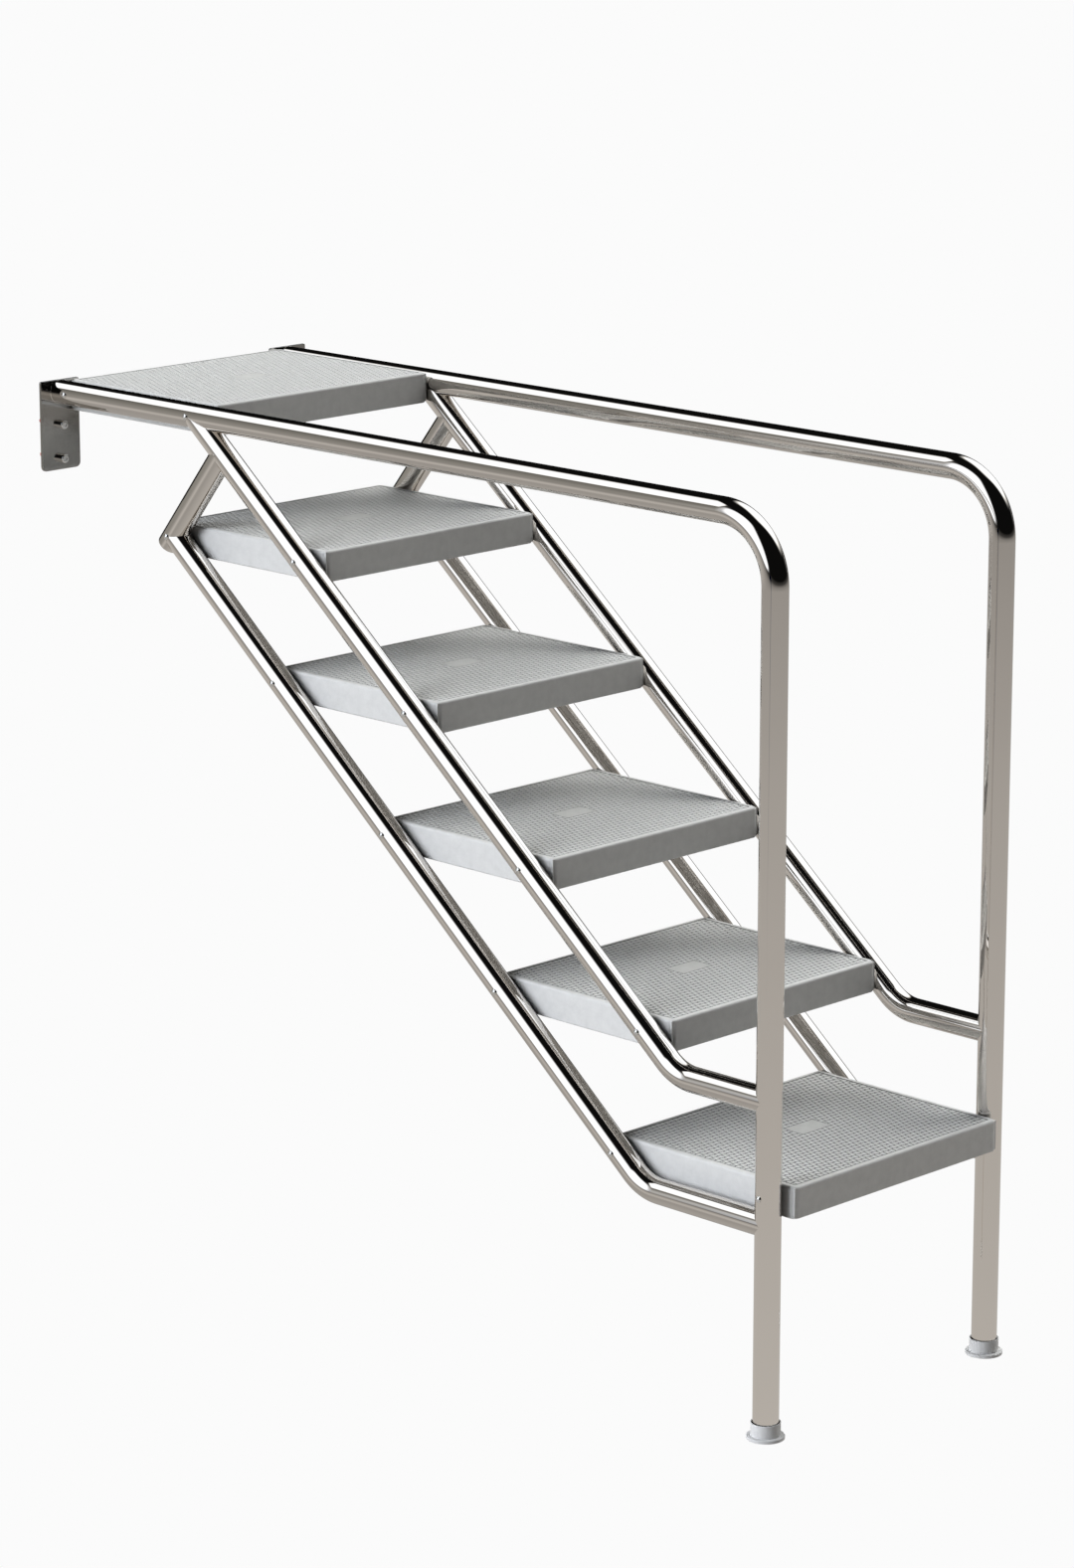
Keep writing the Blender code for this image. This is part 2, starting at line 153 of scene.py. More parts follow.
# Each softbox is (azimuth, elevation) of its middle, then its edges, then its light. The edges are the one
# towards more azimuth, the one towards less azimuth, the top and the bottom, each of them
# (how far out, how much it leans, how soft) in tangents of angles. One box has negative light:
# it's a dark flag, which takes light away from the ground behind it.
LEAST_AHEAD = 0.05
SOFTBOXES = [
    (
        (92, 45),
        ((0.58, 0, 0.34), (0.67, -0.33, 0.5), (0.81, -0.5, 1.3), (0.79, 0.42, 1.5)),
        (16.6, 16.7, 16.4),
    ),
    (
        (-108, 22),
        ((0.47, -0.15, 0.75), (0.46, -0.12, 0.75), (0.53, 0.35, 0.28), (0.51, -0.15, 0.14)),
        (15.6, 16.3, 17.4),
    ),
    (
        (-160, 39),
        ((0.375, -0.44, 0.16), (0.44, 0.22, 0.2), (0.216, 0.13, 0.18), (0.17, 0.21, 0.14)),
        (6.5, 6.5, 6.5),
    ),
    (
        (-150, 5),
        ((0.374, 0, 0.03), (0.7, 0, 0.2), (1.19, 0, 2), (0.3, 0, 0.2)),
        (0.42, 0.41, 0.38),
    ),
    (
        (-84, -12),
        ((0.06, 0, 0.05), (0.06, 0, 0.05), (0.2, 0, 0.1), (0.09, 0, 0.12)),
        (-0.24, -0.22, -0.18),
    ),
    (
        (88, 8),
        ((0.3, 0, 0.2), (0.25, 0, 0.2), (0.3, 0, 0.3), (0.2, 0, 0.1)),
        (0.15, 0.15, 0.15),
    ),
]


def centre(node):
    low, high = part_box(node)
    return (low + high) / 2


def size(node):
    low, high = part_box(node)
    return high - low


# ---------------------------------------------------------------- materials


def add_node(tree, kind, inputs=(), **settings):
    """A node with its settings and its inputs, each a value or another node's socket."""
    node = tree.nodes.new(kind)
    for name, value in settings.items():
        setattr(node, name, value)
    for index, value in dict(inputs).items():
        if isinstance(value, bpy.types.NodeSocket):
            tree.links.new(value, node.inputs[index])
        else:
            node.inputs[index].default_value = value
    return node


def shader_of(name):
    """A new material, its node tree and its Principled BSDF."""
    made = bpy.data.materials.new(name)
    made.use_nodes = True
    return made, made.node_tree, made.node_tree.nodes["Principled BSDF"]


def scalar_math(tree, operation, *values):
    return add_node(tree, "ShaderNodeMath", enumerate(values), operation=operation).outputs[0]


def vector_math(tree, operation, *values):
    made = add_node(tree, "ShaderNodeVectorMath", enumerate(values), operation=operation)
    return made.outputs["Value" if operation == "DOT_PRODUCT" else "Vector"]


def scaled(tree, vector, factor):
    """A vector or colour times one number."""
    return add_node(tree, "ShaderNodeVectorMath", {0: vector, "Scale": factor}, operation="SCALE").outputs[0]


def map_range(tree, value, from_range, to_range, **settings):
    inputs = {"Value": value, "From Min": from_range[0], "From Max": from_range[1]}
    inputs |= {"To Min": to_range[0], "To Max": to_range[1]}
    return add_node(tree, "ShaderNodeMapRange", inputs, **settings).outputs["Result"]


def blend_colours(tree, factor, first, second):
    """A mix of two colours, each of them three numbers or another node's socket."""
    inputs = {"Factor": factor}
    for name, colour in (("A", first), ("B", second)):
        inputs[name] = colour if isinstance(colour, bpy.types.NodeSocket) else (*colour, 1)
    return add_node(tree, "ShaderNodeMix", inputs, data_type="RGBA").outputs["Result"]


def object_noise(tree, scale, detail, stretch=(1, 1, 1), roughness=0.5):
    """Noise in the piece's own space, about 0 to 1 round 0.5, with its features 1 / scale metres long."""
    place_at = add_node(tree, "ShaderNodeTexCoord").outputs["Object"]
    stretched = vector_math(tree, "MULTIPLY", place_at, stretch)
    inputs = {"Vector": stretched, "Scale": scale, "Detail": detail, "Roughness": roughness}
    return add_node(tree, "ShaderNodeTexNoise", inputs).outputs["Fac"]


def spread(tree, noise, low, high):
    """Maps the middle of a noise's range onto low to high."""
    return map_range(tree, noise, (0.3, 0.7), (low, high))


def add_bump(tree, shader, height, distance):
    made = add_node(tree, "ShaderNodeBump", {"Height": height, "Distance": distance})
    tree.links.new(made.outputs["Normal"], shader.inputs["Normal"])


def polished_steel(name, colour, roughness):
    """Polished stainless steel, a little uneven in tone and gloss."""
    made, tree, shader = shader_of(name)
    shader.inputs["Metallic"].default_value = 1
    darker = [channel * 0.965 for channel in colour]
    tone = blend_colours(tree, object_noise(tree, scale=9, detail=3), darker, colour)
    smears = object_noise(tree, scale=18, detail=2)
    tree.links.new(tone, shader.inputs["Base Color"])
    tree.links.new(spread(tree, smears, roughness * 0.6, roughness * 1.6), shader.inputs["Roughness"])
    return made


def brushed_steel(name, colour, roughness):
    """Steel with a fine satin grain and a mottled tone."""
    made, tree, shader = shader_of(name)
    shader.inputs["Metallic"].default_value = 1
    darker = [channel * 0.8 for channel in colour]
    tone = blend_colours(tree, object_noise(tree, scale=400, detail=5), darker, colour)
    patches = object_noise(tree, scale=150, detail=4)
    grain = object_noise(tree, scale=900, detail=2, stretch=(1, 1, 0.15))
    tree.links.new(tone, shader.inputs["Base Color"])
    tree.links.new(spread(tree, patches, roughness * 0.8, roughness * 1.3), shader.inputs["Roughness"])
    add_bump(tree, shader, grain, distance=0.00001)
    return made


def moulded_plastic(name, colour, roughness, mottling):
    """Matt moulded plastic: mottled, faintly speckled and grained."""
    made, tree, shader = shader_of(name)
    darker = [channel * (1 - mottling) for channel in colour]
    lighter = [min(channel * (1 + mottling), 1) for channel in colour]
    clouds = object_noise(tree, scale=60, detail=5, roughness=0.6)
    mottled = blend_colours(tree, spread(tree, clouds, 0, 1), darker, lighter)
    speck = spread(tree, object_noise(tree, scale=900, detail=2), 0.98, 1.01)
    patches = object_noise(tree, scale=130, detail=4)
    grain = object_noise(tree, scale=700, detail=3)
    tree.links.new(scaled(tree, mottled, speck), shader.inputs["Base Color"])
    tree.links.new(spread(tree, patches, roughness - 0.07, roughness + 0.07), shader.inputs["Roughness"])
    add_bump(tree, shader, grain, distance=0.000008)
    return made


# ---------------------------------------------------------------- mesh tools


def finish_mesh(name, shape, *materials, sharp=radians(35)):
    """Turns a bmesh into a smooth-shaded object with its edges sharp where the surface really turns."""
    bmesh.ops.recalc_face_normals(shape, faces=shape.faces)
    mesh = bpy.data.meshes.new(name)
    shape.to_mesh(mesh)
    shape.free()
    for material in materials:
        mesh.materials.append(material)
    mesh.shade_smooth()
    mesh.set_sharp_from_angle(angle=sharp)
    made = bpy.data.objects.new(name, mesh)
    bpy.context.scene.collection.objects.link(made)
    return made


def place(piece, slot, *nodes):
    """Joins a piece to the ladder's one body, and lets it stand for its CAD nodes."""
    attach(piece, "root")
    if nodes:
        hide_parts(*nodes)


def add_ring(shape, points):
    return [shape.verts.new(point) for point in points]


def bridge(shape, first, second, material_index=0):
    """Quads between two closed rings with the same number of points."""
    count = len(first)
    for index in range(count):
        after = (index + 1) % count
        face = shape.faces.new((first[index], first[after], second[after], second[index]))
        face.material_index = material_index


def lathe(shape, profile, matrix, steps=ROUND_SIDES):
    """Turns a profile of (radius, height) points about Z. A point on the axis closes that end."""
    rings = []
    for radius, height in profile:
        if radius < 1e-7:
            rings.append([shape.verts.new(matrix @ Vector((0, 0, height)))])
            continue
        turns = [2 * pi * step / steps for step in range(steps)]
        points = [Vector((radius * cos(a), radius * sin(a), height)) for a in turns]
        rings.append(add_ring(shape, [matrix @ point for point in points]))
    for first, second in zip(rings, rings[1:]):
        if len(first) == 1 and len(second) == 1:
            continue
        if len(first) == 1 or len(second) == 1:
            tip, ring = (first[0], second) if len(first) == 1 else (second[0], first)
            for index in range(steps):
                shape.faces.new((tip, ring[index], ring[(index + 1) % steps]))
            continue
        bridge(shape, first, second)


def arc(centre_radius, centre_height, radius, start, end, steps):
    """Profile points along an arc, its angles in degrees from the outward direction."""
    turns = [radians(start + (end - start) * step / steps) for step in range(steps + 1)]
    return [(centre_radius + radius * cos(a), centre_height + radius * sin(a)) for a in turns]


def facing(place_at, direction):
    """The matrix that puts the Z axis of a turned piece along a direction."""
    turn = Vector(direction).to_track_quat("Z", "Y").to_matrix().to_4x4()
    return Matrix.Translation(place_at) @ turn


# ---------------------------------------------------------------- tubes


def bent_centreline(corners, radius):
    """(point, direction) stations through the corners, each inner corner rounded, for a tube's rings."""
    corners = [Vector(corner) for corner in corners]
    stations = [(corners[0], (corners[1] - corners[0]).normalized())]
    for before, corner, after in zip(corners, corners[1:], corners[2:]):
        ahead = (corner - before).normalized()
        away = (after - corner).normalized()
        angle = ahead.angle(away)
        inward = (away - ahead * cos(angle)) / sin(angle)
        start = corner - ahead * radius * tan(angle / 2)
        middle = start + inward * radius
        stations.append((start - ahead * BEND_SUPPORT, ahead))
        steps = round(angle / BEND_STEP)
        for step in range(steps + 1):
            turned = angle * step / steps
            outward = ahead * sin(turned) - inward * cos(turned)
            stations.append((middle + outward * radius, ahead * cos(turned) + inward * sin(turned)))
        end = corner + away * radius * tan(angle / 2)
        stations.append((end + away * BEND_SUPPORT, away))
    stations.append((corners[-1], (corners[-1] - corners[-2]).normalized()))
    return stations


def ring_offsets(direction, radius):
    """Offsets of a ring's points round a centreline that stays in an upright plane."""
    up = direction.cross(SIDEWAYS)
    turns = [2 * pi * step / ROUND_SIDES for step in range(ROUND_SIDES)]
    return [up * radius * cos(a) + SIDEWAYS * radius * sin(a) for a in turns]


def slide_to_mate(point, direction, mate):
    """Slides a point inside the mate tube along a direction until it lies on that tube's surface."""
    mate_point, mate_axis, mate_radius = mate
    across = point - mate_point
    across = across - mate_axis * across.dot(mate_axis)
    step = direction - mate_axis * direction.dot(mate_axis)
    reach = step.dot(step)
    half = across.dot(step)
    inside = max(half * half - reach * (across.dot(across) - mate_radius * mate_radius), 0)
    return point + direction * (-half + sqrt(inside)) / reach


def end_ring(station, radius, inwards, mate):
    """The ring at a tube's end, cut to the mate tube's surface if there is one."""
    point, direction = station
    ring = [point + offset for offset in ring_offsets(direction, radius)]
    if mate is None:
        return ring
    return [slide_to_mate(place_at, direction * inwards, mate) for place_at in ring]


def tube_shape(stations, radius, start_mate=None, end_mate=None):
    """A hollow tube with a real wall along the stations, as a bmesh."""
    shape = bmesh.new()
    rings = []
    for surface_radius in (radius, radius - TUBE_WALL):
        layer = [end_ring(stations[0], surface_radius, 1, start_mate)]
        for point, direction in stations[1:-1]:
            layer.append([point + offset for offset in ring_offsets(direction, surface_radius)])
        layer.append(end_ring(stations[-1], surface_radius, -1, end_mate))
        rings.extend(layer if surface_radius == radius else reversed(layer))
    rings = [add_ring(shape, ring) for ring in rings]
    for first, second in zip(rings, rings[1:] + rings[:1]):
        bridge(shape, first, second)
    return shape


def weld(name, station, inwards, mate):
    """The thin bead along the line where a tube's end meets the tube that it is welded to."""
    line = end_ring(station, tube_radius, inwards, mate)
    shape = bmesh.new()
    rings = []
    across = None
    for index, point in enumerate(line):
        along = (line[(index + 1) % len(line)] - line[index - 1]).normalized()
        across = along.orthogonal() if across is None else across - along * across.dot(along)
        across.normalize()
        other = along.cross(across)
        turns = [2 * pi * step / WELD_SIDES for step in range(WELD_SIDES)]
        offsets = [(across * cos(a) + other * sin(a)) * WELD_RADIUS for a in turns]
        rings.append(add_ring(shape, [point + offset for offset in offsets]))
    drift = min(range(WELD_SIDES), key=lambda k: (rings[-1][0].co - rings[0][k].co).length)
    for first, second in zip(rings, rings[1:]):
        bridge(shape, first, second)
    bridge(shape, rings[-1], rings[0][drift:] + rings[0][:drift])
    place(finish_mesh(name, shape, steel), "tube_steel")


def leg_mate(y):
    return (Vector((leg_x, y, 0)), Vector((0, 0, 1)), tube_radius - SINK)


def make_rail(label, y):
    """The handrail and front leg, in one tube."""
    corners = [
        (plate_front_x - SINK, y, rail_z),
        (leg_x, y, rail_z),
        (leg_x, y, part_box(f"{label}_rail")[0].z),
    ]
    stations = bent_centreline(corners, RAIL_BEND_RADIUS)
    rail = finish_mesh(f"{label}_handrail", tube_shape(stations, tube_radius), steel)
    place(rail, "tube_steel", f"{label}_rail")
    shape = bmesh.new()
    bead = arc(tube_radius, 0, WELD_RADIUS, 0, 360, PLATE_WELD_SIDES)
    lathe(shape, bead, facing((plate_front_x, y, rail_z), (1, 0, 0)))
    bmesh.ops.remove_doubles(shape, verts=shape.verts, dist=1e-6)
    place(finish_mesh(f"{label}_plate_weld", shape, steel), "tube_steel")


def slope_line(first_screw, last_screw):
    """A point on a stringer's axis and the direction down it, from two screws that lie on it."""
    top = centre(first_screw)
    direction = centre(last_screw) - top
    direction.y = 0
    return top, direction.normalized()


def make_stringer(label, y, which, top, down, top_mate):
    """A sloping tube: coped at the top, bent level near the bottom and coped on the leg."""
    foot_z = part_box(f"{label}_{which}_stringer")[0].z + tube_radius
    knee = top + down * (top.z - foot_z) / -down.z
    corners = [(top.x, y, top.z), (knee.x, y, foot_z), (leg_x, y, foot_z)]
    stations = bent_centreline(corners, STRINGER_BEND_RADIUS)
    shape = tube_shape(stations, tube_radius, top_mate, leg_mate(y))
    stringer = finish_mesh(f"{label}_{which}_sloping_tube", shape, steel, sharp=COPE_SHARP)
    place(stringer, "tube_steel", f"{label}_{which}_stringer")
    weld(f"{label}_{which}_top_weld", stations[0], 1, top_mate)


def make_side_tubes(label):
    """One side frame's tubes, with their welds."""
    y = centre(f"{label}_foot").y
    make_rail(label, y)
    front_point, down = slope_line(f"tread_1_{label}_front_screw", f"tread_4_{label}_front_screw")
    rear_point, _ = slope_line(f"tread_2_{label}_rear_screw", f"tread_5_{label}_rear_screw")
    front_point.y = rear_point.y = y
    up_brace = Vector((-down.z, 0, down.x))
    cap = centre(f"{label}_brace_cap")

    rail_top = front_point - down * (front_point.z - rail_z) / down.z
    rail_mate = (Vector((0, y, rail_z)), Vector((1, 0, 0)), tube_radius - SINK)
    make_stringer(label, y, "front", rail_top, down, rail_mate)

    knee = rear_point + down * (cap - rear_point).dot(down)
    brace_mate = (knee, up_brace, tube_radius - SINK)
    make_stringer(label, y, "rear", knee, down, brace_mate)

    brace_top = knee + up_brace * (front_point - knee).dot(up_brace)
    brace_start = cap + up_brace * CAP_HALF
    stations = [(brace_start, up_brace), (brace_top, up_brace)]
    front_mate = (front_point, down, tube_radius - SINK)
    shape = tube_shape(stations, tube_radius, None, front_mate)
    brace = finish_mesh(f"{label}_short_tube", shape, steel, sharp=COPE_SHARP)
    place(brace, "tube_steel", f"{label}_brace")
    weld(f"{label}_brace_weld", stations[-1], -1, front_mate)
    make_brace_cap(label, cap, up_brace)


def make_brace_cap(label, middle, up_brace):
    """The disc that closes the brace's lower end, ground round at its edge."""
    profile = [(0, CAP_HALF), (tube_radius, CAP_HALF)]
    profile += arc(tube_radius - CAP_ROUND, CAP_ROUND - CAP_HALF, CAP_ROUND, 0, -90, CAP_ROUND_STEPS)
    profile += [(0, -CAP_HALF)]
    shape = bmesh.new()
    lathe(shape, profile, facing(middle, up_brace))
    place(finish_mesh(f"{label}_brace_end", shape, steel), "tube_steel", f"{label}_brace_cap")


# ---------------------------------------------------------------- wall plates and their bolts


def rounded_outline(low, high, radii, steps):
    """Points round a rectangle with rounded corners, anticlockwise from its lower right corner."""
    corners = [
        (high[0], low[1], -90, radii[0]),
        (high[0], high[1], 0, radii[1]),
        (low[0], high[1], 90, radii[1]),
        (low[0], low[1], 180, radii[0]),
    ]
    outline = []
    for x, y, start, radius in corners:
        middle_x = x - radius if x == high[0] else x + radius
        middle_y = y - radius if y == high[1] else y + radius
        for step in range(steps + 1):
            turn = radians(start + 90 * step / steps)
            outline.append((middle_x + radius * cos(turn), middle_y + radius * sin(turn)))
    return outline


def make_wall_plate(label):
    """The wall plate, with rounded corners and softly broken edges."""
    low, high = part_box(f"{label}_wall_plate")
    shape = bmesh.new()
    rings = []
    layers = [(PLATE_EDGE, low.x), (0, low.x + PLATE_EDGE), (0, high.x - PLATE_EDGE), (PLATE_EDGE, high.x)]
    for inset, x in layers:
        outline = rounded_outline(
            (low.y + inset, low.z + inset),
            (high.y - inset, high.z - inset),
            (PLATE_LOWER_CORNER - inset, PLATE_UPPER_CORNER - inset),
            PLATE_CORNER_STEPS,
        )
        rings.append(add_ring(shape, [(x, y, z) for y, z in outline]))
    for first, second in zip(rings, rings[1:]):
        bridge(shape, first, second)
    shape.faces.new(rings[0])
    shape.faces.new(rings[-1])
    plate = finish_mesh(f"{label}_bolt_plate", shape, plate_metal, sharp=PLATE_SHARP)
    plate.modifiers.new("flat_faces", "WEIGHTED_NORMAL").keep_sharp = True
    place(plate, "plate_steel", f"{label}_wall_plate")


def make_wall_bolt(label, height):
    """A bolt: a cylindrical head with a rounded rim and a hexagon socket, on its shank."""
    node = f"{label}_{height}_wall_bolt"
    low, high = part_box(node)
    seat = Vector((plate_front_x, centre(node).y, centre(node).z))
    head_radius = size(node).z / 2
    head_length = high.x - plate_front_x
    shank_radius = head_radius / 2
    shank_end = low.x - plate_front_x
    face_radius = head_radius - BOLT_EDGE - BOLT_FACE_BORDER
    rim = arc(head_radius - BOLT_EDGE, head_length - BOLT_EDGE, BOLT_EDGE, 90, 0, BOLT_EDGE_STEPS)
    profile = [(face_radius, head_length)] + rim
    profile += [(head_radius, 0), (shank_radius, 0), (shank_radius, shank_end), (0, shank_end)]
    shape = bmesh.new()
    matrix = facing(seat, (1, 0, 0))
    lathe(shape, profile, matrix, BOLT_SIDES)
    add_socket(shape, matrix, face_radius, head_length)
    place(finish_mesh(f"{label}_{height}_bolt", shape, bright_metal), "fastener_steel", node)


def add_socket(shape, matrix, face_radius, top):
    """A flat annulus from the bolt head's open face in to a hexagon socket, which closes the head."""
    turns = [2 * pi * step / BOLT_SIDES for step in range(BOLT_SIDES)]
    hexagon = [SOCKET_FLATS / 2 / cos(turn % (pi / 3) - pi / 6) for turn in turns]
    rings = []
    for reaches, height in (
        ([face_radius] * BOLT_SIDES, top),
        (hexagon, top),
        (hexagon, top - SOCKET_DEPTH),
    ):
        points = [Vector((reach * cos(a), reach * sin(a), height)) for reach, a in zip(reaches, turns)]
        rings.append(add_ring(shape, [matrix @ point for point in points]))
    bridge(shape, rings[0], rings[1])
    bridge(shape, rings[1], rings[2])
    shape.faces.new(rings[2])
    bmesh.ops.remove_doubles(shape, verts=shape.verts, dist=1e-6)


def make_wall_plug(label, height):
    """The red plug on a bolt's end: a shallow mouth, ringed sides and a tapered tip."""
    node = f"{label}_{height}_wall_plug"
    middle = centre(node)
    radius = size(node).z / 2
    length = size(node).x
    mouth = radius * PLUG_MOUTH_SHARE
    tip = radius * 2 / 3
    profile = [(0, -PLUG_MOUTH_DEPTH), (mouth, -PLUG_MOUTH_DEPTH), (mouth, 0), (radius, 0)]
    for ring in range(1, int((length - PLUG_TAPER) / PLUG_RING_PITCH)):
        bottom = -ring * PLUG_RING_PITCH
        profile += [
            (radius, bottom + PLUG_RING_DEPTH),
            (radius - PLUG_RING_DEPTH, bottom),
            (radius, bottom - PLUG_RING_DEPTH),
        ]
    profile += [
        (radius, PLUG_TAPER - length),
        (tip, PLUG_TIP_EDGE - length),
        (tip - PLUG_TIP_EDGE, -length),
        (0, -length),
    ]
    shape = bmesh.new()
    lathe(shape, profile, facing((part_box(node)[1].x, middle.y, middle.z), (1, 0, 0)), PLUG_SIDES)
    place(finish_mesh(f"{label}_{height}_plug", shape, red_plastic), "plug_plastic", node)


# ---------------------------------------------------------------- treads


def tile(shape, rows, columns, height, top_material=TILE_TOP):
    """One raised tile between groove bottoms, its edge points on the lattice that its neighbours share."""
    low = Vector((rows[0] * TILE_PITCH, columns[0] * TILE_PITCH))
    high = Vector((rows[1] * TILE_PITCH, columns[1] * TILE_PITCH))
    half_steps = round((columns[1] - columns[0]) * 2)
    row_steps = round(rows[1] - rows[0])
    edge = [(low.x, low.y + step * TILE_PITCH / 2) for step in range(half_steps)]
    edge += [(low.x + step * TILE_PITCH, high.y) for step in range(row_steps)]
    edge += [(high.x, high.y - step * TILE_PITCH / 2) for step in range(half_steps)]
    edge += [(high.x - step * TILE_PITCH, low.y) for step in range(row_steps)]
    rings = []
    for inset, depth in GROOVE_SECTION:
        ring = []
        for x, y in edge:
            x = min(max(x, low.x + inset), high.x - inset)
            y = min(max(y, low.y + inset), high.y - inset)
            ring.append((x, y, height - depth))
        rings.append(add_ring(shape, ring))
    # The groove walls get the dark groove material, which is painted shade; the tile tops keep the tread's
    # own colour.
    for first, second in zip(rings, rings[1:-1]):
        bridge(shape, first, second, PAINTED_SHADE_GROOVE)
    bridge(shape, rings[-2], rings[-1], top_material)
    shape.faces.new(rings[-1]).material_index = top_material


def tile_columns(row):
    """The (start, end) columns of each tile in a row: in brick bond, with a half tile at one end."""
    first = 0.5 if row % 2 else 1
    cuts = [0] + [first + step for step in range(int(TILE_COLUMNS - first) + 1)]
    if cuts[-1] < TILE_COLUMNS:
        cuts.append(TILE_COLUMNS)
    return [(start - TILE_COLUMNS / 2, end - TILE_COLUMNS / 2) for start, end in zip(cuts, cuts[1:])]


def tile_field(shape, height):
    """The whole field of tiles round a plain pad in the middle, and the lip round the field."""
    middle = TILE_ROWS / 2
    for row in range(TILE_ROWS):
        for start, end in tile_columns(row):
            if PAD_ROWS[0] <= row < PAD_ROWS[1]:
                if start >= -PAD_HALF_COLUMNS and end <= PAD_HALF_COLUMNS:
                    continue
                if start < -PAD_HALF_COLUMNS < end:
                    end = -PAD_HALF_COLUMNS
                if start < PAD_HALF_COLUMNS < end:
                    start = PAD_HALF_COLUMNS
            tile(shape, (row - middle, row + 1 - middle), (start, end), height)
    pad_rows = (PAD_ROWS[0] - middle, PAD_ROWS[1] - middle)
    tile(shape, pad_rows, (-PAD_HALF_COLUMNS, PAD_HALF_COLUMNS), height, PAD_TOP)
    bmesh.ops.remove_doubles(shape, verts=shape.verts, dist=1e-6)
    rim = [edge for edge in shape.edges if edge.is_boundary]
    lip = bmesh.ops.extrude_edge_only(shape, edges=rim)["geom"]
    groove_half_width = GROOVE_SECTION[-1][0]
    limits = (TILE_ROWS / 2 * TILE_PITCH, TILE_COLUMNS / 2 * TILE_PITCH)
    for vertex in [item for item in lip if isinstance(item, bmesh.types.BMVert)]:
        for axis, limit in enumerate(limits):
            if abs(abs(vertex.co[axis]) - limit) < 1e-5:
                vertex.co[axis] += copysign(groove_half_width, vertex.co[axis])
        vertex.co.z = height


def tread_mesh():
    """The moulded tread about the middle of its top: tiled, with rounded edges and a hollow underside."""
    low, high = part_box("tread_1")
    half = Vector(((high.x - low.x) / 2, (high.y - low.y) / 2))
    thickness = high.z - low.z
    turns = [pi / 2 * step / EDGE_STEPS for step in range(EDGE_STEPS + 1)]
    top, bottom = TREAD_TOP_EDGE, TREAD_BOTTOM_EDGE
    section = [(top * (1 - sin(turn)), -top * (1 - cos(turn))) for turn in turns]
    section += [(bottom * (1 - cos(turn)), -thickness + bottom * (1 - sin(turn))) for turn in turns]
    section += [(TREAD_WALL, -thickness + HOLLOW_LIP), (TREAD_WALL + HOLLOW_DRAFT, -TREAD_WALL)]
    shape = bmesh.new()
    tile_field(shape, 0)
    rings = []
    for inset, z in section:
        corner = TREAD_CORNER - inset
        reach = half - Vector((inset, inset))
        outline = rounded_outline(-reach, reach, (corner, corner), CORNER_STEPS)
        rings.append(add_ring(shape, [(x, y, z) for x, y in outline]))
    for first, second in zip(rings, rings[1:]):
        bridge(shape, first, second)
    shape.faces.new(rings[-1])
    open_edges = [edge for edge in shape.edges if edge.is_boundary]
    bmesh.ops.triangle_fill(shape, use_beauty=True, edges=open_edges, normal=(0, 0, 1))
    add_ribs(shape, half, thickness)
    return shape


def add_block(shape, low, high):
    low, high = Vector(low), Vector(high)
    matrix = Matrix.Translation((low + high) / 2) @ Matrix.Diagonal((*(high - low), 1))
    bmesh.ops.create_cube(shape, size=1, matrix=matrix)


def add_ribs(shape, half, thickness):
    """The ribs and the four screw bosses in the tread's hollow."""
    rib = TREAD_WALL / 2
    bottom = RIB_SHORTFALL - thickness
    top = -TREAD_WALL / 2
    reach = half - Vector((TREAD_WALL / 2, TREAD_WALL / 2))
    for x in (BOSS_LENGTH - half.x, 0, half.x - BOSS_LENGTH):
        add_block(shape, (x - rib, -reach.y, bottom), (x + rib, reach.y, top))
    for y in (-half.y / 3, half.y / 3):
        add_block(shape, (-reach.x, y - rib, bottom), (reach.x, y + rib, top))
    for side_x in (-1, 1):
        for side_y in (-1, 1):
            ends_x = sorted((side_x * reach.x, side_x * (half.x - BOSS_LENGTH)))
            ends_y = sorted((side_y * reach.y, side_y * (half.y - BOSS_DEPTH)))
            add_block(shape, (ends_x[0], ends_y[0], BOSS_SHORTFALL - thickness), (ends_x[1], ends_y[1], top))


def make_treads():
    """The platform and the treads. They are the same moulding, so they share one mesh."""
    plastics = (tread_plastic, groove_painted_shade, pad_plastic)
    shared = finish_mesh("moulded_tread", tread_mesh(), *plastics, sharp=TREAD_SHARP)
    mesh = shared.data
    bpy.data.objects.remove(shared)
    for name in TREAD_NAMES:
        low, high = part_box(name)
        piece = bpy.data.objects.new(f"{name}_moulding", mesh)
        bpy.context.scene.collection.objects.link(piece)
        piece.location = ((low.x + high.x) / 2, (low.y + high.y) / 2, high.z)
        piece.modifiers.new("flat_faces", "WEIGHTED_NORMAL").keep_sharp = True
        place(piece, "tread_plastic", name)


def make_tread_screw(name, side):
    """A domed screw head on the tube, with its shank."""
    low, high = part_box(name)
    middle = centre(name)
    seat_y = side * (abs(centre("left_foot").y) + tube_radius)
    radius = size(name).z / 2
    outer_y = high.y if side > 0 else low.y
    inner_y = low.y if side > 0 else high.y
    height = abs(outer_y - seat_y)
    shank_end = -abs(seat_y - inner_y)
    rise = height * SCREW_DOME_SHARE
    dome_radius = (radius * radius + rise * rise) / (2 * rise)
    half_angle = degrees(acos((dome_radius - rise) / dome_radius))
    dome = arc(0, height - dome_radius, dome_radius, 90, 90 - half_angle, SCREW_DOME_STEPS)
    profile = [(0, height)] + dome[1:]
    profile += [(radius, -SCREW_SKIRT), (SCREW_SHANK_RADIUS, -SCREW_SKIRT)]
    profile += [(SCREW_SHANK_RADIUS, shank_end), (0, shank_end)]
    shape = bmesh.new()
    lathe(shape, profile, facing((middle.x, seat_y, middle.z), (0, side, 0)), SCREW_SIDES)
    place(finish_mesh(name + "_fine", shape, bright_metal), "fastener_steel", name)


